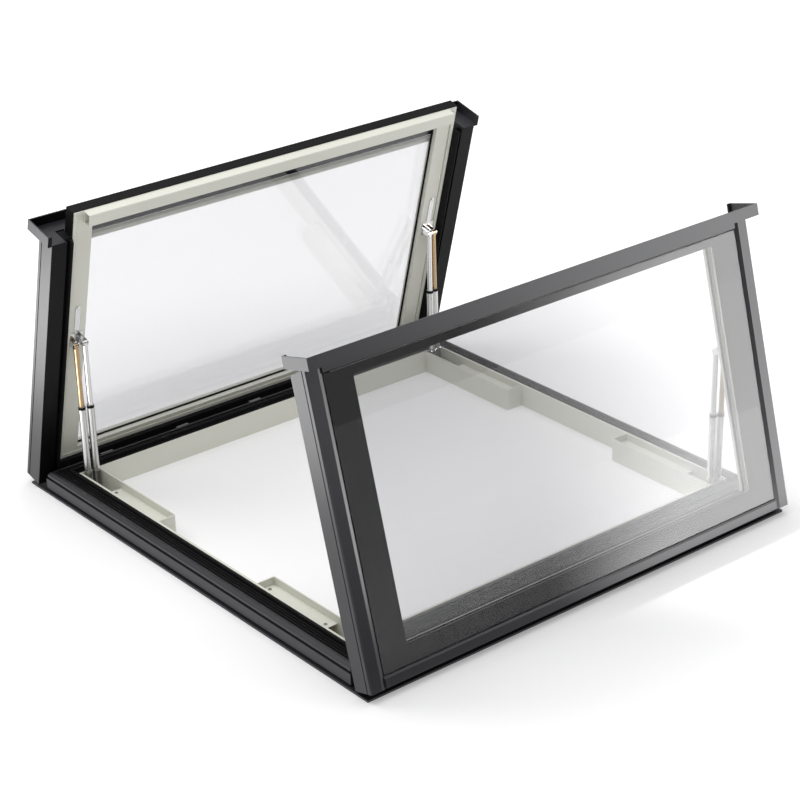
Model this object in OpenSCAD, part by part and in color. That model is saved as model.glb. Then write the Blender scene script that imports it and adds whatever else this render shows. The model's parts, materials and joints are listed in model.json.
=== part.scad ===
// Double-leaf roof skylight: two glazed sashes on one aluminium base frame,
// each held open by two pairs of gas struts. Millimetres, +Z up.
// The origin is the centre of the base frame, on the roof plane.
// X runs from the left hinge side to the right one, Y runs along the hinges.

/* [Base frame] */
// Length of the base across the two hinge sides
base_x = 1760; // [1640:10:2400]
// Length of the base along the hinges
base_y = 1670; // [1300:10:2400]
// Width of the rails on the two sides without hinges
rail_w = 77; // [66:1:110]
// Width of the rail bodies on the hinge sides
hinge_rail_w = 101; // [90:1:130]
// Height of the rails at their outer top edge
rail_h = 70; // [66:1:90]
// Projection of the sill that the hinge straps stand on
sill_w = 77; // [70:1:100]
// Thickness of the lower lip and of the sill
lip_t = 7; // [5:1:8]
// Height of the inner lining above the roof plane
lining_h = 78; // [76:1:96]
// Thickness of the inner lining
lining_t = 8; // [6:1:14]

/* [Strut boxes] */
// Length of a strut box along the rail
box_len = 446; // [400:2:520]
// Gap between the cylinders and the wall of their box
box_gap = 3.5; // [3:0.5:10]
// Gap between the cylinders and the lining
lining_gap = 6.5; // [4:0.5:12]
// Sheet thickness of a strut box
box_t = 4; // [3:0.5:5]
// Depth of the lid below the rim of its box
lid_drop = 24; // [20:1:30]
// Length of the open end that the struts rise from
foot_gap = 139; // [120:1:160]

/* [Sashes] */
// Opening angle that the sashes are drawn at
open_deg = 75; // [0:1:75]
// Depth of the sash profiles
sash_depth = 75; // [70:1:82]
// Width of a side stile
stile_w = 53; // [45:1:58]
// Overlap of the sash over each side of the base
side_overlap = 3; // [1:1:6]
// Height of the hood along the free edge
hood_h = 36; // [28:1:44]
// Projection of the hood over the outer face
hood_out = 40; // [30:1:70]
// Projection of the hood past each stile
hood_end = 15; // [8:1:30]
// Width of the sides of the inner frame
inner_w = 70; // [66:1:76]
// Depth of the face of the inner frame below the inner side of the stiles
inner_drop = 15; // [8:1:18]
// Overlap of the inner frame of the left sash past the middle
overlap = 42; // [20:1:50]
// Thickness of each glass pane
pane_t = 8; // [6:1:8]
// Gap between the two panes
pane_gap = 16; // [12:1:18]

/* [Hinges] */
// Distance of the pivot from the end of the base, in X
pivot_in = 30; // [26:1:34]
// Height of the pivot over the roof plane
pivot_z = 145; // [143:1:150]
// Distance of the pivot from the lower edge of the sash
pivot_a = 120; // [116:1:122]
// Depth of the pivot below the outer face of the sash
pivot_b = 22; // [22:1:26]
// Radius of the hinge pins
hinge_pin_r = 5; // [4:0.5:6]

/* [Gas struts] */
// Radius of the rods
rod_r = 8.5; // [6:0.5:11]
// Space between a rod and the wall of its cylinder
rod_gap = 1.5; // [1:0.5:4]
// Wall of the cylinders
tube_wall = 1.5; // [1:0.5:3]
// Gap between the two cylinders of a pair
strut_gap = 4; // [3:0.5:12]
// Distance of the outer upper eye from the lower edge of the sash
eye_a = 525; // [520:1:600]
// Step from the outer upper eye to the inner one
eye_step = 8; // [0:1:20]
// Step from the outer foot to the inner one
foot_step = 6; // [0:1:10]

/* [Hidden] */
$fn = 48;
anthracite = "#3f3f45";
cream = "#d8d8ce";
rubber = "#121212";
steel = "#b8b8b8";

// Clearances
touch = 0.02;      // pressed or glued joints in one body
run = 0.05;        // shafts that turn or slide in a hole
seat = 0.3;        // pieces that lie loosely against each other
eps = 1;           // overshoot of cuts

// Base frame: outer edges of the rail bodies and inner faces
body_x = base_x / 2 - sill_w;
body_y = base_y / 2;
rail_in_x = body_x - hinge_rail_w;
rail_in_y = body_y - rail_w;
lining_x = rail_in_x - lining_t;
lining_y = rail_in_y - lining_t;
groove_h = 6;
band_top = 48;
track_z = rail_h - 6;      // floor of the gasket channel
track_e = 30;              // distance of the channel from the outer edge
wall = 3;                  // wall of the hollow rails
ridge_z = rail_h + 4;      // top of the small gasket ridges
bulb_z = 82;               // top of the sealing bulb

// Gas struts: radius of the cylinders, distance of a pair, line of the outer one
lug_t = 12;
lug_gap = 1;                           // side clearance of a lug between its cheeks
cheek_t = 3;
tube_r = rod_r + rod_gap + tube_wall;
strut_pitch = 2 * tube_r + strut_gap;
strut_y = lining_y - lining_gap - tube_r;

// Strut boxes
box_w = box_t + box_gap + strut_pitch + 2 * tube_r + lining_gap;
box_y = lining_y - box_w;              // inner face of a box
box_end = rail_in_x - box_len;         // free end of a box
lid_z = lining_h - lid_drop;
lid_t = 2;
lid_from = box_end + box_t + seat;
lid_to = rail_in_x - foot_gap;
screw_inset = 18;

// Sashes, in their own frame: a runs up the sash, b out of it
pivot_x = base_x / 2 - pivot_in;
meeting_gap = 2;
sash_len = pivot_x + pivot_a - meeting_gap;
sash_y = base_y / 2 + side_overlap;
opening_y = sash_y - stile_w;          // inner side of the stiles
hood_skin = 4;
hood_top = sash_len - 8;
frame_top = hood_top - hood_h;         // end of the stiles under the hood
pane_b = 3;                            // the outer pane lies this far below the outer face
rail_lip = 34;                         // height of the hinge rail on the outer face
pane_a0 = rail_lip + 2;
pane_a1 = frame_top - 30;
pane_y = opening_y - 2;
pane_in = pane_b + pane_t;             // depth of the inner side of the outer pane
unit_in = pane_in + pane_gap + pane_t; // depth of the inner side of the glass unit
border = 12;                           // raised outer border of the inner frame
frame_y = strut_y + lug_t / 2 + lug_gap + cheek_t + seat + border + 0.7;  // outer edge of the inner frame
frame_a0 = 62;
frame_play = 27;                       // gap between the two inner frames with the sashes closed
frame_bottom = 26;
overlap_b = 20;                        // depth of the overlap below the outer face
glass_edge = 16;                       // the inner pane covers this much of the inner frame
face_b = sash_depth - inner_drop;      // depth of the border of the inner frame
flat_b = face_b - 4;                   // depth of the flat face of the inner frame
seal_b = sash_depth + 8;
rail_leg = 20;                         // depth of the hinge rail along the lower edge
apron_a = 4;                           // lower edge of the black apron below the inner frame
cover_h = 41;
cover_b = 30;

// Top of the inner frame and width of its head, which differ between the sashes
function frame_a1(side) = side == "left" ? sash_len + overlap : sash_len - overlap - frame_play;
function frame_head(side) = side == "left" ? 50 : glass_edge + 4 * wall;
function seal_a1(side) = min(frame_top, frame_a1(side) + 6);
function unit_a1(side) = frame_a1(side) - frame_head(side) + glass_edge - 2;

// Hinge straps
strap_t = 12;
strap_r = 10;
strap_w = 16;
strap_y = opening_y - 2 - strap_t;

// Gas struts: feet on the base, eyes on the sash
foot_x = rail_in_x - 14;
foot_z = lining_h + 2;
eye_b = flat_b + 22;
eye_out = 8;                           // the inner eye stands this much further out than the outer one
lug_r = 8;
foot_pin_r = 4;
gland_t = 6;
piston_t = 5;
plug_t = 12;

// Place of an upper eye in the XZ plane of the left sash, for an opening angle
function eye_at(inner, deg) =
    let (a = eye_height(inner) - pivot_a, b = pivot_b - eye_depth(inner))
    [-pivot_x + a * cos(deg) - b * sin(deg), pivot_z + a * sin(deg) + b * cos(deg)];
function foot_at(inner) = [-(foot_x - (inner ? foot_step : 0)), foot_z];
function eye_height(inner) = eye_a + (inner ? eye_step : 0);
function eye_depth(inner) = eye_b + (inner ? eye_out : 0);
function strut_len(inner, deg) = norm(eye_at(inner, deg) - foot_at(inner));
function strut_dir(inner, deg) =
    let (v = eye_at(inner, deg) - foot_at(inner)) atan2(v[1], v[0]);
// The closed strut leaves the lug and a small gap outside the cylinder
function tube_len(inner) = strut_len(inner, 0) - lug_r - 3;
function pair_y(inner) = strut_y - (inner ? strut_pitch : 0);

// ---------- frames ----------
module at_side(side) {
    if (side == "left") children();
    else mirror([1, 0, 0]) children();
}
module at_end(end) {
    if (end == "far") children();
    else mirror([0, 1, 0]) children();
}
module both_ends() {
    children();
    mirror([0, 1, 0]) children();
}
// Children are drawn with X up the sash, Z out of it and the hinge pins along Y
module on_sash(side) {
    at_side(side)
        translate([-pivot_x, 0, pivot_z])
            rotate([0, -open_deg, 0])
                translate([-pivot_a, 0, pivot_b])
                    children();
}
// Children are drawn along +X from the lower pivot of a strut
module on_strut(side, inner) {
    at_side(side)
        translate([foot_at(inner)[0], 0, foot_at(inner)[1]])
            rotate([0, -strut_dir(inner, open_deg), 0])
                both_ends()
                    translate([0, pair_y(inner), 0])
                        children();
}
// A box between two corners
module block(lo, hi) {
    translate(lo) cube(hi - lo);
}
// A profile in the XZ plane, drawn from y0 to y1
module bar_y(y0, y1) {
    translate([0, y1, 0]) rotate([90, 0, 0]) linear_extrude(y1 - y0) children();
}
// A pin along Y
module pin_y(r, y0, y1) {
    translate([0, y1, 0]) rotate([90, 0, 0]) cylinder(r = r, h = y1 - y0);
}
// A rectangular ring between two rectangles, from z0 to z1
module ring(lo_out, hi_out, lo_in, hi_in, z0, z1) {
    difference() {
        block([lo_out[0], lo_out[1], z0], [hi_out[0], hi_out[1], z1]);
        block([lo_in[0], lo_in[1], z0 - eps], [hi_in[0], hi_in[1], z1 + eps]);
    }
}

// ---------- base frame ----------
// Section of a rail: x from the outer edge inwards, y up
module rail_section(w) {
    difference() {
        polygon([[0, 0], [0, lip_t], [14, lip_t], [14, lip_t + groove_h],
                 [8, lip_t + groove_h], [8, band_top], [18, band_top],
                 [18, band_top + groove_h], [12, band_top + groove_h],
                 [12, rail_h - 8], [20, rail_h], [track_e, rail_h],
                 [track_e, track_z], [w, track_z], [w, 0]]);
        translate([18 + wall, wall])
            square([w - 18 - 2 * wall, track_z - 2 * wall]);
    }
}
module hinge_side_rail(side) {
    color(anthracite) at_side(side) difference() {
        union() {
            intersection() {
                translate([-body_x, 0, 0]) bar_y(-body_y, body_y) rail_section(hinge_rail_w);
                linear_extrude(2 * rail_h) polygon([
                    [-body_x, -body_y], [-body_x + rail_w, -rail_in_y],
                    [-rail_in_x, -rail_in_y], [-rail_in_x, rail_in_y],
                    [-body_x + rail_w, rail_in_y], [-body_x, body_y]]);
            }
            block([-base_x / 2, -body_y, 0], [-body_x, body_y, lip_t]);
        }
        sill_holes();
        drain_slots();
    }
}
// Fixing holes through the sill, two per side
sill_hole_r = 4.5;
sill_hole_in = 20;
sill_hole_y = body_y - 235;
module sill_holes() {
    for (y = [-sill_hole_y, sill_hole_y])
        translate([-base_x / 2 + sill_hole_in, y, -eps])
            cylinder(r = sill_hole_r, h = lip_t + 2 * eps);
}
// Drain slots in the top of the hinge side rail
drain_len = 46;
drain_w = 6;
drain_step = 300;
drain_n = floor((rail_in_y - drain_len) / drain_step);
module drain_slots() {
    for (i = [-drain_n:drain_n])
        block([-rail_in_x - 14, i * drain_step - drain_len / 2, track_z - wall - eps],
              [-rail_in_x - 14 + drain_w, i * drain_step + drain_len / 2, track_z + eps]);
}
// Steel clips that hold the gasket on the hinge side rails, at each drain slot
module rail_clips() {
    color(steel) for (side = ["left", "right"]) at_side(side) for (i = [-drain_n:drain_n])
        block([-body_x + 13, i * drain_step - drain_len / 2, rail_h + touch],
              [-body_x + 20, i * drain_step + drain_len / 2, rail_h + 1.5]);
}
module end_rail(end) {
    color(anthracite) at_end(end) intersection() {
        translate([-body_x, body_y, 0])
            rotate([90, 0, 90]) linear_extrude(2 * body_x) mirror([1, 0]) rail_section(rail_w);
        linear_extrude(2 * rail_h) polygon([
            [-body_x, body_y], [body_x, body_y],
            [body_x - rail_w, rail_in_y], [-body_x + rail_w, rail_in_y]]);
    }
}
module hinge_side_lining(side) {
    color(cream) at_side(side)
        block([-rail_in_x, -box_y + seat, 0], [-lining_x, box_y - seat, lining_h]);
}
module end_lining(end) {
    color(cream) at_end(end)
        block([-rail_in_x, lining_y, 0], [rail_in_x, rail_in_y, lining_h]);
}
// Gasket: a flat base with three ridges and one taller sealing bulb
module gasket_ring(e0, e1, z0, z1) {
    ring([-body_x + e0, -body_y + e0], [body_x - e0, body_y - e0],
         [-body_x + e1, -body_y + e1], [body_x - e1, body_y - e1], z0, z1);
}
module base_gasket() {
    color(rubber) difference() {
        union() {
            ring([-body_x + track_e, -body_y + track_e], [body_x - track_e, body_y - track_e],
                 [-rail_in_x, -rail_in_y], [rail_in_x, rail_in_y], track_z, rail_h);
            for (e = [34, 44, 53])
                gasket_ring(e, e + 4, rail_h - eps, ridge_z);
            gasket_ring(rail_w - 13, rail_w - 4, rail_h - eps, bulb_z);
        }
        for (side = ["left", "right"]) at_side(side) for (i = [-drain_n:drain_n])
            block([-rail_in_x - 14, i * drain_step - drain_len / 2, track_z - eps],
                  [-rail_in_x - 14 + drain_w, i * drain_step + drain_len / 2, rail_h + eps]);
    }
}

// ---------- strut boxes ----------
module strut_box(side, end) {
    corner_r = 8;
    color(cream) at_side(side) at_end(end) difference() {
        linear_extrude(lining_h) union() {
            translate([-rail_in_x, box_y + corner_r])
                square([box_len, box_w - corner_r]);
            translate([-rail_in_x, box_y])
                square([box_len - corner_r, corner_r + eps]);
            translate([-box_end - corner_r, box_y + corner_r])
                circle(r = corner_r);
        }
        block([-rail_in_x + box_t, box_y + box_t, box_t],
              [-box_end - box_t, lining_y + eps, lining_h + eps]);
        for (x = lid_screw_x())
            translate([-x, lid_screw_y, -eps]) cylinder(r = 2.5, h = box_t + 2 * eps);
    }
}
function lid_screw_x() = [lid_from + screw_inset, lid_to - screw_inset];
lid_screw_y = (box_y + box_t + lining_y) / 2;
// Folded lid: a top plate on two side flanges that stand on the box floor
module box_lid(side, end) {
    color(cream) at_side(side) at_end(end) difference() {
        block([-lid_to, box_y + box_t + seat, box_t], [-lid_from, lining_y - seat, lid_z]);
        block([-lid_to - eps, box_y + box_t + seat + lid_t, box_t - eps],
              [-lid_from + eps, lining_y - seat - lid_t, lid_z - lid_t]);
        for (x = lid_screw_x())
            translate([-x, lid_screw_y, 0]) cylinder(r = 2.5, h = lid_z + eps);
    }
}
module lid_screws() {
    color(steel) for (side = ["left", "right"], end = ["near", "far"])
        at_side(side) at_end(end) for (x = lid_screw_x())
            translate([-x, lid_screw_y, 0]) difference() {
                union() {
                    cylinder(r = 2.5 - touch, h = lid_z);
                    translate([0, 0, lid_z]) cylinder(r = 5.5, h = 2);
                }
                translate([0, 0, lid_z + 1]) cylinder(r = 2, h = 2, $fn = 6);
            }
}
// Cheeks on both sides of every lug, on one floor plate
module foot_brackets(side) {
    y_out = pair_y(false) + lug_t / 2 + lug_gap + cheek_t;
    y_in = pair_y(true) - lug_t / 2 - lug_gap - cheek_t;
    x_in = foot_at(true)[0];
    color(steel) at_side(side) both_ends() difference() {
        union() {
            block([-foot_x - 9, y_in, box_t], [x_in + 34, y_out, box_t + cheek_t]);
            for (inner = [false, true], s = [-1, 1]) {
                y = pair_y(inner) + s * (lug_t / 2 + lug_gap + cheek_t / 2);
                block([foot_at(inner)[0] - 9, y - cheek_t / 2, box_t],
                      [foot_at(inner)[0] + 9, y + cheek_t / 2, foot_z]);
                translate([foot_at(inner)[0], 0, foot_z])
                    pin_y(9, y - cheek_t / 2, y + cheek_t / 2);
            }
        }
        for (inner = [false, true])
            translate([foot_at(inner)[0], 0, foot_z])
                pin_y(foot_pin_r + touch, pair_y(inner) - 12, pair_y(inner) + 12);
    }
}
module foot_pins() {
    half = lug_t / 2 + lug_gap + cheek_t;
    color(steel) for (side = ["left", "right"], end = ["near", "far"])
        at_side(side) at_end(end) for (inner = [false, true])
            translate([foot_at(inner)[0], 0, foot_z])
                pin_y(foot_pin_r, pair_y(inner) - half, pair_y(inner) + half);
}

// ---------- hinges ----------
// Two straps per hinge side, standing on the sill and ending in an eye at the pivot
module hinge_straps(side) {
    foot_l = 34;
    color(rubber) at_side(side) both_ends() difference() {
        union() {
            block([-pivot_x - strap_w / 2, strap_y, lip_t],
                  [-pivot_x + strap_w / 2, strap_y + strap_t, pivot_z]);
            translate([-pivot_x, 0, pivot_z]) pin_y(strap_r, strap_y, strap_y + strap_t);
            block([-pivot_x - strap_w / 2, strap_y - foot_l, lip_t],
                  [-pivot_x + strap_w / 2, strap_y, lip_t + 4]);
        }
        translate([-pivot_x, 0, pivot_z])
            pin_y(hinge_pin_r + run, strap_y - eps, strap_y + strap_t + eps);
    }
}
hinge_pin_end = opening_y + 9;
module hinge_pins() {
    color(steel) for (side = ["left", "right"]) at_side(side) both_ends()
        translate([-pivot_x, 0, pivot_z]) pin_y(hinge_pin_r, strap_y, hinge_pin_end);
}

// ---------- sashes ----------
// Section of a stile: x from the inner side outwards, y out of the sash
module stile_outline() {
    polygon([[0, -sash_depth], [0, -pane_b - 2], [14, 0], [stile_w - 4, 0], [stile_w, -4],
             [stile_w, -16], [stile_w - 2, -16], [stile_w - 2, -20], [stile_w, -20],
             [stile_w, -sash_depth + 1], [stile_w - 1, -sash_depth]]);
}
module stile_section() {
    difference() {
        stile_outline();
        translate([wall, -sash_depth + wall])
            square([stile_w - 2 * wall - 3, sash_depth - 12]);
    }
}
module stile(side, end) {
    plug = frame_top - frame_a1("right") + 12;
    color(anthracite) on_sash(side) at_end(end) difference() {
        translate([0, opening_y, 0]) rotate([90, 0, 90]) union() {
            linear_extrude(frame_top) stile_section();
            translate([0, 0, frame_top - plug]) linear_extrude(plug) stile_outline();
        }
        // the right sash closes over the left one, so its inner side is cut back
        if (side == "right")
            bar_y(opening_y - eps, sash_y + eps)
                polygon([[frame_top + eps, -8], [frame_top, -8],
                         [frame_a1(side), -sash_depth], [frame_a1(side), -sash_depth - eps],
                         [frame_top + eps, -sash_depth - eps]]);
        translate([pivot_a, 0, -pivot_b])
            pin_y(hinge_pin_r + touch, opening_y - eps, hinge_pin_end);
    }
}
module hinge_rail(side) {
    color(anthracite) on_sash(side) bar_y(-opening_y, opening_y)
        polygon([[0, -rail_leg], [0, -3], [3, 0], [rail_lip - 6, 0], [rail_lip, -pane_b],
                 [rail_lip, -pane_in], [rail_lip + 8, -pane_in], [rail_lip + 8, -pane_in - 5],
                 [5, -pane_in - 5], [5, -rail_leg]]);
}
module meeting_rail(side) {
    a0 = pane_a1 + 2;
    color(anthracite) on_sash(side) bar_y(-opening_y, opening_y)
        polygon([[a0, -pane_in], [a0, -pane_b], [a0 + 3, 0], [frame_top, 0], [frame_top, -pane_in]]);
}
// Hood: an open tray along the free edge, with a fascia outside and a return at each end
module hood(side) {
    y1 = sash_y + hood_end;
    back = -sash_depth;
    color(anthracite) on_sash(side) union() {
        block([frame_top, -y1, hood_out - hood_skin], [hood_top, y1, hood_out]);
        block([frame_top, -y1, -pane_in], [frame_top + hood_skin, y1, hood_out]);
        both_ends() {
            if (side == "left")
                block([frame_top, opening_y + 4, back], [frame_top + hood_skin, y1, hood_out]);
            block([frame_top, y1 - hood_skin, back], [hood_top, y1, hood_out]);
            block([frame_top, y1 - hood_skin - 10, back], [hood_top, y1, back + hood_skin]);
        }
    }
}
// Cream inner frame: raised border, flat face and a rebate for the glass unit
module inner_frame(side) {
    in_y = frame_y - inner_w;
    a1 = frame_a1(side);
    head = frame_head(side);
    color(cream) on_sash(side) difference() {
        ring([frame_a0, -frame_y], [a1, frame_y],
             [frame_a0 + frame_bottom, -in_y], [a1 - head, in_y], -face_b, -pane_in - touch);
        block([frame_a0 + border, -frame_y + border, -face_b - eps],
              [a1 - border, frame_y - border, -flat_b]);
        // shadow groove next to the border
        ring([frame_a0 + border, -frame_y + border], [a1 - border, frame_y - border],
             [frame_a0 + border + 3, -frame_y + border + 3],
             [a1 - border - 3, frame_y - border - 3], -flat_b - eps, -flat_b + 3);
        block([frame_a0 + frame_bottom - glass_edge, -in_y - glass_edge, -unit_in - touch],
              [a1 - head + glass_edge, in_y + glass_edge, 0]);
        // channels along the two sides, which the glass covers
        for (s = [-1, 1])
            block([frame_a0 + wall, s > 0 ? in_y + glass_edge + wall : -frame_y + wall,
                   -flat_b + 2 * wall],
                  [seal_a1(side) - 4 * wall, s > 0 ? frame_y - wall : -in_y - glass_edge - wall, 0]);
        // room for the hood of the right sash over the overlap
        block([frame_top, -frame_y - eps, -overlap_b], [a1 + frame_top, frame_y + eps, 0]);
    }
}
// Cream rail over the meeting joint, on the left sash only
module cover_rail() {
    half = lining_y - 30;
    a1 = frame_a1("left");
    color(cream) on_sash("left") bar_y(-half, half) difference() {
        polygon([[a1 - cover_h, -face_b], [a1, -face_b], [a1, -face_b - cover_b + 2],
                 [a1 - 2, -face_b - cover_b], [a1 - cover_h + 2, -face_b - cover_b],
                 [a1 - cover_h, -face_b - cover_b + 2]]);
        translate([a1 - cover_h + wall, -face_b - cover_b + wall])
            square([cover_h - 2 * wall, cover_b - 2 * wall]);
    }
}
// Slanted sealing lip along each side: x is the distance from the hinge middle, y out of the sash
module lip_section() {
    polygon([[frame_y + touch, -face_b + 5], [frame_y + touch, -face_b], [frame_y + 11, -seal_b],
             [frame_y + 14, -seal_b], [frame_y + 14, -face_b + 5]]);
}
// Black rim round the inner frame, wider below, with pockets for the hinge straps
module sash_seal(side) {
    a1 = frame_a1(side);
    color(rubber) on_sash(side) difference() {
        union() {
            ring([apron_a, -opening_y + 1], [seal_a1(side), opening_y - 1],
                 [frame_a0 - touch, -frame_y - touch], [a1 + touch, frame_y + touch],
                 -face_b + 4, -pane_in - touch);
            if (side == "left")
                ring([frame_top - eps, -frame_y - 4], [a1 + 4, frame_y + 4],
                     [frame_a0, -frame_y - touch], [a1 + touch, frame_y + touch],
                     -face_b + 4, -overlap_b);
            block([apron_a, -frame_y - 12, -sash_depth],
                  [frame_a0 - touch, frame_y + 12, -face_b + 5]);
            both_ends() translate([frame_a0 - 12, 0, 0])
                rotate([90, 0, 90]) linear_extrude(seal_a1(side) - frame_a0 + 8) lip_section();
        }
        for (s = [-1, 1])
            block([-eps, s > 0 ? strap_y - 2 : -opening_y - eps, -seal_b - eps],
                  [pivot_a + strap_r + 6, s > 0 ? opening_y + eps : -strap_y + 2, 0]);
        // the apron stays clear of the hinge rail
        block([-eps, -opening_y, -rail_leg - touch], [rail_lip + 9, opening_y, 0]);
    }
}
module outer_pane(side) {
    color("#9fb0b0", 0.4) on_sash(side)
        block([pane_a0, -pane_y, -pane_in], [pane_a1, pane_y, -pane_b]);
}
unit_y = frame_y - inner_w + glass_edge - 2;
unit_a0 = frame_a0 + frame_bottom - glass_edge + 2;
// The spacer stays behind the dark border of the outer pane
module spacer(side) {
    a1 = min(pane_a1 - 2, unit_a1(side));
    color(cream) on_sash(side)
        ring([unit_a0, -unit_y], [a1, unit_y],
             [unit_a0 + 12, -unit_y + 6], [a1 - 12, unit_y - 6],
             -pane_in - pane_gap + touch, -pane_in - touch);
}
module inner_pane(side) {
    color("#9fb0b0", 0.4) on_sash(side)
        block([unit_a0, -unit_y, -unit_in], [unit_a1(side), unit_y, -unit_in + pane_t]);
}
module glazing_gasket(side) {
    in_y = frame_y - inner_w;
    lip = 5;
    a1 = frame_a1(side) - frame_head(side);
    color(rubber) on_sash(side)
        ring([frame_a0 + frame_bottom + touch, -in_y + touch], [a1 - touch, in_y - touch],
             [frame_a0 + frame_bottom + lip, -in_y + lip], [a1 - lip, in_y - lip],
             -unit_in - 5, -unit_in);
}

// ---------- gas struts ----------
// Upper bracket: a plate with a long tongue, and open cheeks beside each eye
module strut_brackets(side) {
    plate_t = 3;
    y_out = pair_y(false) + lug_t / 2 + lug_gap + cheek_t;
    y_in = pair_y(true) - lug_t / 2 - lug_gap - cheek_t;
    tongue_y = (y_out + y_in) / 2;
    tongue_r = 9;
    tongue_a = eye_a + 125;
    a0 = eye_a - 12;
    a1 = eye_a + eye_step + 26;
    color(steel) on_sash(side) both_ends() {
        difference() {
            union() {
                block([a0, y_in, -flat_b - plate_t], [a1, y_out, -flat_b]);
                block([a1 - eps, tongue_y - tongue_r, -flat_b - plate_t],
                      [tongue_a, tongue_y + tongue_r, -flat_b]);
                translate([tongue_a, tongue_y, -flat_b - plate_t])
                    cylinder(r = tongue_r, h = plate_t);
                for (inner = [false, true], s = [-1, 1]) {
                    e = eye_height(inner);
                    y = pair_y(inner) + s * (lug_t / 2 + lug_gap + cheek_t / 2);
                    block([e - 9, y - cheek_t / 2, -eye_depth(inner)],
                          [e + 9, y + cheek_t / 2, -flat_b]);
                    translate([e, 0, -eye_depth(inner)])
                        pin_y(9, y - cheek_t / 2, y + cheek_t / 2);
                }
            }
            translate([tongue_a, tongue_y, -flat_b - plate_t - eps])
                cylinder(r = 3, h = plate_t + 2 * eps);
        }
        translate([tongue_a, tongue_y, -flat_b - plate_t - 2 - touch]) difference() {
            union() {
                cylinder(r = 6, h = 2);
                cylinder(r = 3 - touch, h = 2 + plate_t);
            }
            translate([0, 0, -eps]) cylinder(r = 2, h = eps + 1, $fn = 6);
        }
    }
}
module cylinders(side, inner) {
    l = tube_len(inner);
    color(steel) on_strut(side, inner) difference() {
        union() {
            translate([plug_t - 1, 0, 0]) rotate([0, 90, 0]) cylinder(r = tube_r, h = l - plug_t + 1);
            pin_y(lug_r, -lug_t / 2, lug_t / 2);
            block([0, -lug_t / 2, -lug_r], [plug_t, lug_t / 2, lug_r]);
        }
        translate([plug_t + 2, 0, 0]) rotate([0, 90, 0])
            cylinder(r = tube_r - tube_wall, h = l - plug_t - 2 - gland_t);
        translate([l - gland_t - eps, 0, 0]) rotate([0, 90, 0])
            cylinder(r = rod_r + run, h = gland_t + 2 * eps);
        pin_y(foot_pin_r + run, -lug_t, lug_t);
    }
}
module rods(side, inner) {
    l = strut_len(inner, open_deg);
    from = tube_len(inner) - gland_t - piston_t - 0.5 + strut_len(inner, open_deg)
           - strut_len(inner, 75);
    color(steel) on_strut(side, inner) {
        translate([from, 0, 0]) rotate([0, 90, 0]) cylinder(r = rod_r, h = l - from - lug_r - 1.5);
        translate([from, 0, 0]) rotate([0, 90, 0])
            cylinder(r = tube_r - tube_wall - 4 * run, h = piston_t);
        translate([l, 0, 0]) {
            block([-lug_r - 2, -lug_t / 2, -lug_r], [0, lug_t / 2, lug_r]);
            pin_y(lug_r, -lug_t / 2, lug_t / 2);
            pin_y(foot_pin_r, -lug_t / 2 - lug_gap + seat, lug_t / 2 + lug_gap - seat);
        }
    }
}

for (side = ["left", "right"]) {
    hinge_side_rail(side);
    hinge_side_lining(side);
    hinge_straps(side);
    foot_brackets(side);
    hinge_rail(side);
    meeting_rail(side);
    hood(side);
    inner_frame(side);
    sash_seal(side);
    outer_pane(side);
    spacer(side);
    inner_pane(side);
    glazing_gasket(side);
    strut_brackets(side);
    cylinders(side, false);
    rods(side, false);
    cylinders(side, true);
    rods(side, true);
    for (end = ["near", "far"]) {
        strut_box(side, end);
        box_lid(side, end);
        stile(side, end);
    }
}
for (end = ["near", "far"]) {
    end_rail(end);
    end_lining(end);
}
base_gasket();
lid_screws();
foot_pins();
cover_rail();
rail_clips();
hinge_pins();
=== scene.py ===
"""Roof skylight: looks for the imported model, with its floor, light and camera. Metres, +Z up."""

import json
import math

import bmesh
import bpy
from mathutils import Matrix, Vector


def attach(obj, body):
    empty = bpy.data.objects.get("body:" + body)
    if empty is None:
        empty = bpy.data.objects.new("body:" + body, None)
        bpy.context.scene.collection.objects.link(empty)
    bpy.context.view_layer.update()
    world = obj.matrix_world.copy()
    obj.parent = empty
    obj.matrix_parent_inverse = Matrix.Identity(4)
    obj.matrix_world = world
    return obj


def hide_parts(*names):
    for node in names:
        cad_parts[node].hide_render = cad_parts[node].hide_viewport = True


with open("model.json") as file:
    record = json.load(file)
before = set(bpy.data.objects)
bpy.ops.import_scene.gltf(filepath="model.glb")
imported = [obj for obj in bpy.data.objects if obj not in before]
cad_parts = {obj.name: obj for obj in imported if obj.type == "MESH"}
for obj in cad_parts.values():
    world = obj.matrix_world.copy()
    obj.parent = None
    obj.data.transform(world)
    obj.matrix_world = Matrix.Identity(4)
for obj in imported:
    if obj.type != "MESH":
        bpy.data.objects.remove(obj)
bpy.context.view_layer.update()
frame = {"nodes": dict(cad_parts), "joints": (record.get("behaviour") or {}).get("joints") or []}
MM = 0.001
SIDES = ("left", "right")
ENDS = ("near", "far")

# Sizes of the sashes, in mm, in their own frame: a runs up the sash, y along the hinge, b out of it.
# CLEAR is the window in the frit: its reach up the sash, and half its width.
OPEN_DEG = 75.0
PIVOT_A, PIVOT_B = 120.0, -22.0
PANE_A = (36.0, 894.0)
PANE_Y = 783.0
GLASS_B = (-10.6, -3.0)
FRIT_B = (-10.9, -10.65)
FRIT_GAP = 1.0  # from the frit to the edge of the pane
CLEAR = {"left": ((57.0, 891.0), 702.0), "right": ((96.0, 868.0), 685.0)}


# ---------------------------------------------------------------- colours and nodes
def srgb(code):
    """An sRGB hex colour as linear RGBA."""
    parts = [int(code[i : i + 2], 16) / 255 for i in (1, 3, 5)]
    linear = [c / 12.92 if c <= 0.04045 else ((c + 0.055) / 1.055) ** 2.4 for c in parts]
    return (*linear, 1.0)


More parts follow.
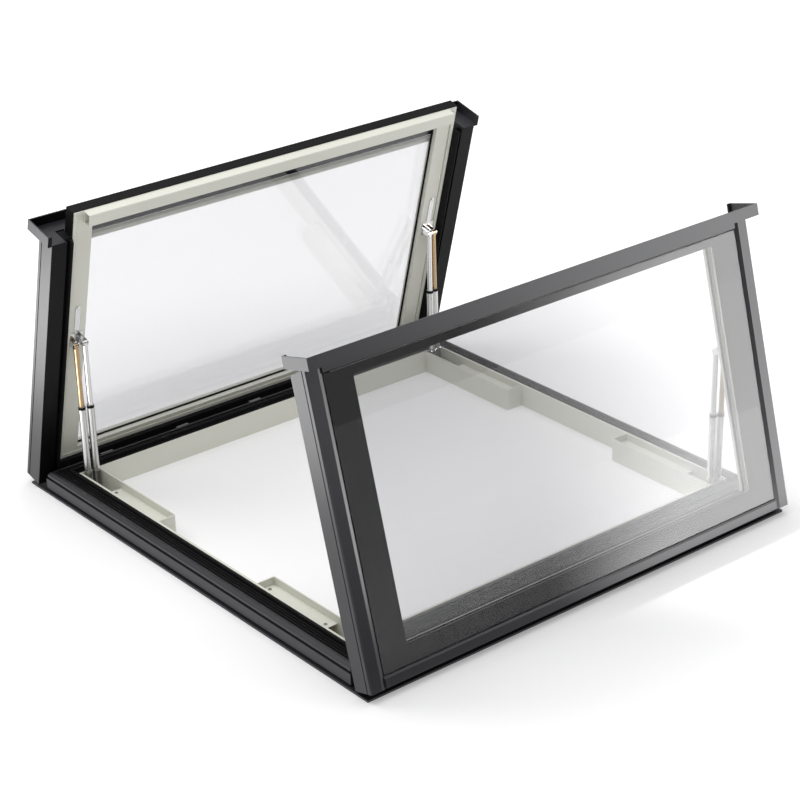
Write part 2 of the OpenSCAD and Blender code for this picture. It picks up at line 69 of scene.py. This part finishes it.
def node(tree, kind, settings=None, **links):
    """Adds a node. settings holds its properties, links its input values or the sockets that feed them."""
    made = tree.nodes.new(kind)
    for name, value in (settings or {}).items():
        setattr(made, name, value)
    for name, value in links.items():
        key = name.replace("_", " ")
        socket = made.inputs[int(key[2:])] if key.startswith("in") and key[2:].isdigit() else made.inputs[key]
        if isinstance(value, bpy.types.NodeSocket):
            tree.links.new(value, socket)
        else:
            socket.default_value = value
    return made


def surface(name, **values):
    """A material with one Principled shader, and the shader."""
    mat = bpy.data.materials.new(name)
    mat.use_nodes = True
    tree = mat.node_tree
    shader = tree.nodes["Principled BSDF"]
    for key, value in values.items():
        shader.inputs[key.replace("_", " ")].default_value = value
    return mat, tree, shader


def place(tree):
    return node(tree, "ShaderNodeTexCoord").outputs["Object"]


# Powder coat: polyester paint cured on aluminium, with a fine orange peel of about 1.5 mm and a soft sheen.
def powder_coat(name, base, pale, rough, bump, underside_shade=None):
    mat, tree, shader = surface(name, Metallic=0.0, IOR=1.5)
    where = place(tree)
    cloud = node(tree, "ShaderNodeTexNoise", Vector=where, Scale=3.0, Detail=2.0)
    tint = node(tree, "ShaderNodeMix", {"data_type": "RGBA"})
    tree.links.new(cloud.outputs["Fac"], tint.inputs["Factor"])
    tint.inputs["A"].default_value = srgb(base)
    tint.inputs["B"].default_value = srgb(pale)
    if underside_shade:
        # the faces that look down and in when the sash stands open are painted near-black with a duller sheen:
        # painted shade
        facing = node(tree, "ShaderNodeSeparateXYZ", Vector=node(tree, "ShaderNodeTexCoord").outputs["Normal"])
        under = node(tree, "ShaderNodeMath", {"operation": "LESS_THAN"}, in0=facing.outputs["Z"], in1=-0.15)
        painted_shade = node(tree, "ShaderNodeMix", {"data_type": "RGBA"})
        tree.links.new(under.outputs["Value"], painted_shade.inputs["Factor"])
        tree.links.new(tint.outputs["Result"], painted_shade.inputs["A"])
        painted_shade.inputs["B"].default_value = srgb(underside_shade)
        tree.links.new(painted_shade.outputs["Result"], shader.inputs["Base Color"])
        dull = node(tree, "ShaderNodeMapRange", Value=under.outputs["Value"], To_Min=0.5, To_Max=0.12)
        tree.links.new(dull.outputs["Result"], shader.inputs["Specular IOR Level"])
    else:
        tree.links.new(tint.outputs["Result"], shader.inputs["Base Color"])
    peel = node(tree, "ShaderNodeTexNoise", Vector=where, Scale=650.0, Detail=1.0)
    gloss = node(tree, "ShaderNodeMapRange", Value=peel.outputs["Fac"], To_Min=rough - 0.04,
                 To_Max=rough + 0.06)
    tree.links.new(gloss.outputs["Result"], shader.inputs["Roughness"])
    skin = node(tree, "ShaderNodeBump", Height=peel.outputs["Fac"], Strength=bump, Distance=0.0002)
    tree.links.new(skin.outputs["Normal"], shader.inputs["Normal"])
    return mat


# EPDM rubber: extruded seal with a matt, slightly chalky face.
def epdm():
    mat, tree, shader = surface("epdm_rubber", Roughness=0.7, IOR=1.5, Specular_IOR_Level=0.18)
    where = place(tree)
    chalk = node(tree, "ShaderNodeTexNoise", Vector=where, Scale=60.0, Detail=4.0)
    tint = node(tree, "ShaderNodeMix", {"data_type": "RGBA"})
    tree.links.new(chalk.outputs["Fac"], tint.inputs["Factor"])
    tint.inputs["A"].default_value = srgb("#070708")
    tint.inputs["B"].default_value = srgb("#101011")
    tree.links.new(tint.outputs["Result"], shader.inputs["Base Color"])
    grain = node(tree, "ShaderNodeBump", Height=chalk.outputs["Fac"], Strength=0.15, Distance=0.0003)
    tree.links.new(grain.outputs["Normal"], shader.inputs["Normal"])
    return mat


# Steel: turned or rolled, with fine scratches along one axis that spread the highlight.
def steel(name, colour, rough, stretch):
    mat, tree, shader = surface(name, Metallic=1.0, Base_Color=srgb(colour))
    where = place(tree)
    turned = node(tree, "ShaderNodeMapping", Vector=where, Scale=stretch)
    lines = node(tree, "ShaderNodeTexNoise", Vector=turned.outputs["Vector"], Scale=220.0, Detail=3.0)
    gloss = node(tree, "ShaderNodeMapRange", Value=lines.outputs["Fac"], To_Min=rough - 0.06,
                 To_Max=rough + 0.1)
    tree.links.new(gloss.outputs["Result"], shader.inputs["Roughness"])
    cut = node(tree, "ShaderNodeBump", Height=lines.outputs["Fac"], Strength=0.06, Distance=0.0002)
    tree.links.new(cut.outputs["Normal"], shader.inputs["Normal"])
    return mat


# Float glass: coated for sun control, which leaves it a neutral grey. Lamps shine through it.
def float_glass():
    mat, tree, shader = surface("float_glass", Roughness=0.0, IOR=1.5, Transmission_Weight=1.0,
                                Base_Color=srgb("#EFEFF0"))
    out = tree.nodes["Material Output"]
    ray = node(tree, "ShaderNodeLightPath")
    through = node(tree, "ShaderNodeBsdfTransparent", Color=srgb("#EAEAEB"))
    either = node(tree, "ShaderNodeMath", {"operation": "MAXIMUM"}, in0=ray.outputs["Is Shadow Ray"],
                  in1=ray.outputs["Is Diffuse Ray"])
    mix = node(tree, "ShaderNodeMixShader", Fac=either.outputs["Value"], in1=shader.outputs["BSDF"],
               in2=through.outputs["BSDF"])
    tree.links.new(mix.outputs["Shader"], out.inputs["Surface"])
    return mat


# Ceramic frit: black enamel fired onto the back of the glass, smooth as the glass is.
def frit_enamel():
    mat, tree, shader = surface("black_frit", Roughness=0.35, IOR=1.5, Specular_IOR_Level=0.15)
    where = place(tree)
    dust = node(tree, "ShaderNodeTexNoise", Vector=where, Scale=900.0, Detail=1.0)
    tint = node(tree, "ShaderNodeMix", {"data_type": "RGBA"})
    tree.links.new(dust.outputs["Fac"], tint.inputs["Factor"])
    tint.inputs["A"].default_value = srgb("#0A0A0A")
    tint.inputs["B"].default_value = srgb("#101011")
    tree.links.new(tint.outputs["Result"], shader.inputs["Base Color"])
    return mat


DARK_COAT = powder_coat("anthracite_powder_coat", "#26262A", "#2B2B30", 0.34, 0.10)
CREAM_COAT = powder_coat("cream_powder_coat", "#D5D5CA", "#DCDCD2", 0.42, 0.08)
# the sash coat paints its downward-facing faces near-black as painted shade
SASH_COAT = powder_coat("anthracite_sash_coat", "#26262A", "#2B2B30", 0.34, 0.10, "#0B0B0C")
BLACK_COAT = powder_coat("black_powder_coat", "#151516", "#1B1B1D", 0.4, 0.1)
RUBBER = epdm()
TUBE_STEEL = steel("brushed_cylinder_steel", "#C9C9C8", 0.26, (1.0, 1.0, 0.06))
ROD_STEEL = steel("bronze_tinted_rod", "#B59A78", 0.16, (1.0, 1.0, 0.1))
CHROME = steel("chromed_steel", "#DADADA", 0.12, (1.0, 1.0, 1.0))
SCREW_STEEL = steel("stainless_steel", "#BFBFC0", 0.22, (1.0, 1.0, 1.0))
GLASS = float_glass()
FRIT = frit_enamel()

FINISH = {
    "base_rail": DARK_COAT, "stile": SASH_COAT, "hinge_rail": SASH_COAT, "meeting_rail": SASH_COAT,
    "hood": SASH_COAT, "lining": CREAM_COAT, "strut_box": CREAM_COAT, "box_lid": CREAM_COAT,
    "inner_frame": CREAM_COAT, "cover_rail": CREAM_COAT, "base_gasket": RUBBER, "sash_seal": RUBBER,
    "hinge_straps": BLACK_COAT, "outer_pane": GLASS, "inner_pane": GLASS, "spacer": CREAM_COAT,
    "outer_cylinders": TUBE_STEEL, "inner_cylinders": TUBE_STEEL, "outer_rods": ROD_STEEL,
    "inner_rods": CHROME, "strut_brackets": CHROME, "foot_brackets": SCREW_STEEL,
    "glazing_gasket": RUBBER, "rail_clips": SCREW_STEEL,
    "foot_pins": SCREW_STEEL, "hinge_pins": SCREW_STEEL, "lid_screws": SCREW_STEEL,
}
for name, thing in frame["nodes"].items():
    for stem, mat in FINISH.items():
        if name.startswith(stem):
            thing.data.materials.clear()
            thing.data.materials.append(mat)


# ---------------------------------------------------------------- building
JOINTS = {joint["name"]: joint for joint in frame["joints"]}


def on_sash(side):
    """Turns the sash's own frame, in mm with X up the sash and Z out of it, into the shared frame in metres."""
    pivot = Vector(JOINTS[f"sash_{side}_hinge"]["pos_m"])
    turn = Matrix.Rotation(math.radians(-OPEN_DEG), 4, "Y")
    local = Matrix.Translation((-PIVOT_A, 0, -PIVOT_B))
    left = Matrix.Translation((-abs(pivot.x), 0, pivot.z)) @ turn @ Matrix.Scale(MM, 4) @ local
    return left if side == "left" else Matrix.Scale(-1, 4, (1, 0, 0)) @ left


def finish_piece(bm, name, mat, body, into=None):
    """Places the shape in the shared frame, makes it an object and rides it on its body."""
    if into is not None:
        bmesh.ops.transform(bm, matrix=into, verts=bm.verts)
    bmesh.ops.recalc_face_normals(bm, faces=bm.faces)
    mesh = bpy.data.meshes.new(name)
    bm.to_mesh(mesh)
    bm.free()
    piece = bpy.data.objects.new(name, mesh)
    bpy.context.scene.collection.objects.link(piece)
    piece.data.materials.append(mat)
    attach(piece, body)
    return piece


def slab(lo, hi):
    """A box between two corners."""
    bm = bmesh.new()
    bmesh.ops.create_cube(bm, size=1.0)
    middle = [(p + q) / 2 for p, q in zip(lo, hi)]
    size = [q - p for p, q in zip(lo, hi)]
    bmesh.ops.scale(bm, vec=size, verts=bm.verts)
    bmesh.ops.translate(bm, vec=middle, verts=bm.verts)
    return bm


def ring_plate(lo, hi, hole_lo, hole_hi, z0, z1):
    """A flat rectangular ring, z0 to z1."""
    bm = bmesh.new()
    rings = []
    for (x0, y0), (x1, y1) in ((lo, hi), (hole_lo, hole_hi)):
        corners = [bm.verts.new((x, y, z0)) for x, y in ((x0, y0), (x1, y0), (x1, y1), (x0, y1))]
        rings.append([bm.edges.new((corners[i], corners[(i + 1) % 4])) for i in range(4)])
    bmesh.ops.bridge_loops(bm, edges=rings[0] + rings[1])
    grown = bmesh.ops.extrude_face_region(bm, geom=list(bm.faces))
    top = [v for v in grown["geom"] if isinstance(v, bmesh.types.BMVert)]
    bmesh.ops.translate(bm, vec=(0, 0, z1 - z0), verts=top)
    return bm


def soften(bm, width, segments=2):
    bmesh.ops.bevel(bm, geom=list(bm.edges), offset=width, offset_type="OFFSET", segments=segments,
                    profile=0.5, affect="EDGES", material=-1)


# Outer panes: the glass, and the frit border on its inner face
for side in SIDES:
    body = f"sash_{side}"
    bm = slab((PANE_A[0], -PANE_Y, GLASS_B[0]), (PANE_A[1], PANE_Y, GLASS_B[1]))
    soften(bm, 0.8)
    glass = finish_piece(bm, f"outer_glass_{side}", GLASS, body, on_sash(side))
    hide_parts(f"outer_pane_{side}")
    clear_a, clear_y = CLEAR[side]
    bm = ring_plate((PANE_A[0] + FRIT_GAP, -PANE_Y + FRIT_GAP), (PANE_A[1] - FRIT_GAP, PANE_Y - FRIT_GAP),
                    (clear_a[0], -clear_y), (clear_a[1], clear_y), *FRIT_B)
    finish_piece(bm, f"frit_border_{side}", FRIT, body, on_sash(side))


# Dark wiper sleeve on the open end of each cylinder. STRUTS: length of the cylinder, distance from the middle
STRUTS = {"outer": (232.17, 732.0), "inner": (234.0, 705.0)}
SLEEVE_R, SLEEVE_LONG, SLEEVE_WALL, SLEEVE_BACK = 11.75, 10.0, 0.4, 5.6
for side in SIDES:
    for which, (length, strut_y) in STRUTS.items():
        foot = Vector(JOINTS[f"{which}_struts_{side}_turn"]["pos_m"])
        along = -Vector(JOINTS[f"{which}_struts_{side}_slide"]["axis"])
        for end in ENDS:
            y = strut_y * MM * (1 if end == "far" else -1)
            bm = bmesh.new()
            bmesh.ops.create_cone(bm, cap_ends=False, segments=40, radius1=SLEEVE_R * MM,
                                  radius2=SLEEVE_R * MM, depth=SLEEVE_LONG * MM)
            bmesh.ops.solidify(bm, geom=list(bm.faces), thickness=SLEEVE_WALL * MM)
            turn = along.to_track_quat("Z", "Y").to_matrix().to_4x4()
            spot = Vector((foot.x, y, foot.z)) + along * (length - SLEEVE_BACK) * MM
            finish_piece(bm, f"{which}_wiper_{side}_{end}", RUBBER, f"{which}_cylinders_{side}",
                         Matrix.Translation(spot) @ turn)


# ---------------------------------------------------------------- floor, light and camera
# The floor glows more strongly outwards, painted light that brightens it as a lit studio cove would, so the
# shading stays close to the frame
floor_mat, tree, shader = surface("studio_floor", Base_Color=srgb("#DEDEDE"), Roughness=0.9,
                                  Emission_Color=srgb("#FFFFFF"))
reach = node(tree, "ShaderNodeVectorMath", {"operation": "LENGTH"}, in0=place(tree))
painted_glow = node(tree, "ShaderNodeMapRange", {"interpolation_type": "SMOOTHSTEP"}, Value=reach.outputs["Value"],
            From_Min=0.8, From_Max=2.1, To_Min=0.20, To_Max=0.50)
tree.links.new(painted_glow.outputs["Result"], shader.inputs["Emission Strength"])
bm = bmesh.new()
bmesh.ops.create_grid(bm, x_segments=1, y_segments=1, size=40.0)
mesh = bpy.data.meshes.new("floor")
bm.to_mesh(mesh)
bm.free()
floor = bpy.data.objects.new("floor", mesh)
floor.data.materials.append(floor_mat)
bpy.context.scene.collection.objects.link(floor)

world = bpy.data.worlds.new("studio")
bpy.context.scene.world = world
world.use_nodes = True
world.node_tree.nodes["Background"].inputs["Color"].default_value = (1, 1, 1, 1)
world.node_tree.nodes["Background"].inputs["Strength"].default_value = 0.55


def lamp(name, where, aim, size, power, colour="#FFFFFF"):
    data = bpy.data.lights.new(name, "AREA")
    data.shape = "RECTANGLE"
    data.size, data.size_y = size
    data.energy = power
    data.color = srgb(colour)[:3]
    thing = bpy.data.objects.new(name, data)
    bpy.context.scene.collection.objects.link(thing)
    thing.location = where
    thing.rotation_euler = (Vector(aim) - Vector(where)).to_track_quat("-Z", "Y").to_euler()
    return thing


lamp("top", (0.0, 0.0, 6.0), (0, 0, 0), (6, 6), 215)
lamp("key", (-3.5, -3.0, 5.0), (0, 0, 0.3), (2.5, 2.5), 90)


def card(name, corners, mat):
    """A flat card of the studio that only shows in reflections."""
    bm = bmesh.new()
    bm.faces.new([bm.verts.new(c) for c in corners])
    mesh = bpy.data.meshes.new(name)
    bm.to_mesh(mesh)
    bm.free()
    thing = bpy.data.objects.new(name, mesh)
    thing.data.materials.append(mat)
    thing.visible_camera = thing.visible_diffuse = thing.visible_shadow = thing.visible_transmission = False
    bpy.context.scene.collection.objects.link(thing)


# The tall cards to the right of the far corner, and the floor card before them, turn from black to bright
# across a slanting line on the floor, so the reflection in the right sash fades the same way
fade_mat, tree, shader = surface("fading_card", Base_Color=srgb("#050505"), Roughness=1.0,
                                 Emission_Color=srgb("#FFFFFF"))
axis = node(tree, "ShaderNodeSeparateXYZ", Vector=place(tree))
lean = node(tree, "ShaderNodeMath", {"operation": "MULTIPLY_ADD"}, in0=axis.outputs["X"], in1=-0.934,
            in2=axis.outputs["Y"])
wide = node(tree, "ShaderNodeMath", {"operation": "MULTIPLY_ADD"}, in0=axis.outputs["X"], in1=0.16, in2=0.05)
ratio = node(tree, "ShaderNodeMath", {"operation": "DIVIDE"}, in1=wide.outputs["Value"])
shifted = node(tree, "ShaderNodeMath", {"operation": "ADD"}, in0=lean.outputs["Value"], in1=0.76)
tree.links.new(shifted.outputs["Value"], ratio.inputs[0])
fade = node(tree, "ShaderNodeMapRange", {"interpolation_type": "SMOOTHSTEP"}, Value=ratio.outputs["Value"],
            From_Min=-1.3, From_Max=1.0, To_Min=0.0, To_Max=7.0)
tree.links.new(fade.outputs["Result"], shader.inputs["Emission Strength"])
FAR, TALL, LIFT = 6.5, 3.5, 0.004
spots = [(FAR * math.cos(math.radians(d)), FAR * math.sin(math.radians(d))) for d in (-20, 20, 55)]
for i, ((x0, y0), (x1, y1)) in enumerate(zip(spots, spots[1:])):
    card(f"tall_card_{i}", ((x0, y0, 0), (x1, y1, 0), (x1, y1, TALL), (x0, y0, TALL)), fade_mat)
floor_spots = ((1.0, -1.6), (6.4, -2.6), (6.6, 2.2), (3.7, 5.3), (1.0, 1.6))
card("floor_card", [(x, y, LIFT) for x, y in floor_spots], fade_mat)
near_mat, tree, shader = surface("bright_card", Base_Color=srgb("#050505"), Roughness=1.0,
                                 Emission_Color=srgb("#FFFFFF"), Emission_Strength=6.0)
near_spots = ((-2.7, -2.6), (0.0, -2.9), (-0.25, -1.55), (-1.2, -1.3), (-2.7, -1.3))
card("near_card", [(x, y, LIFT) for x, y in near_spots], near_mat)

YAW, PITCH, ROLL = (math.radians(d) for d in (50.75, 27.16, -1.2))
data = bpy.data.cameras.new("camera")
data.sensor_width, data.lens = 36.0, 101.27
data.shift_x = -0.025
data.shift_y = 0.1
data.clip_end = 200
camera = bpy.data.objects.new("camera", data)
bpy.context.scene.collection.objects.link(camera)
camera.location = (4.999, -4.0, 3.345)
tilt = Matrix.Rotation(math.pi / 2 - PITCH, 3, "X") @ Matrix.Rotation(ROLL, 3, "Z")
camera.rotation_euler = (Matrix.Rotation(YAW, 3, "Z") @ tilt).to_euler()
bpy.context.scene.camera = camera
bpy.context.scene.view_settings.view_transform = "Standard"
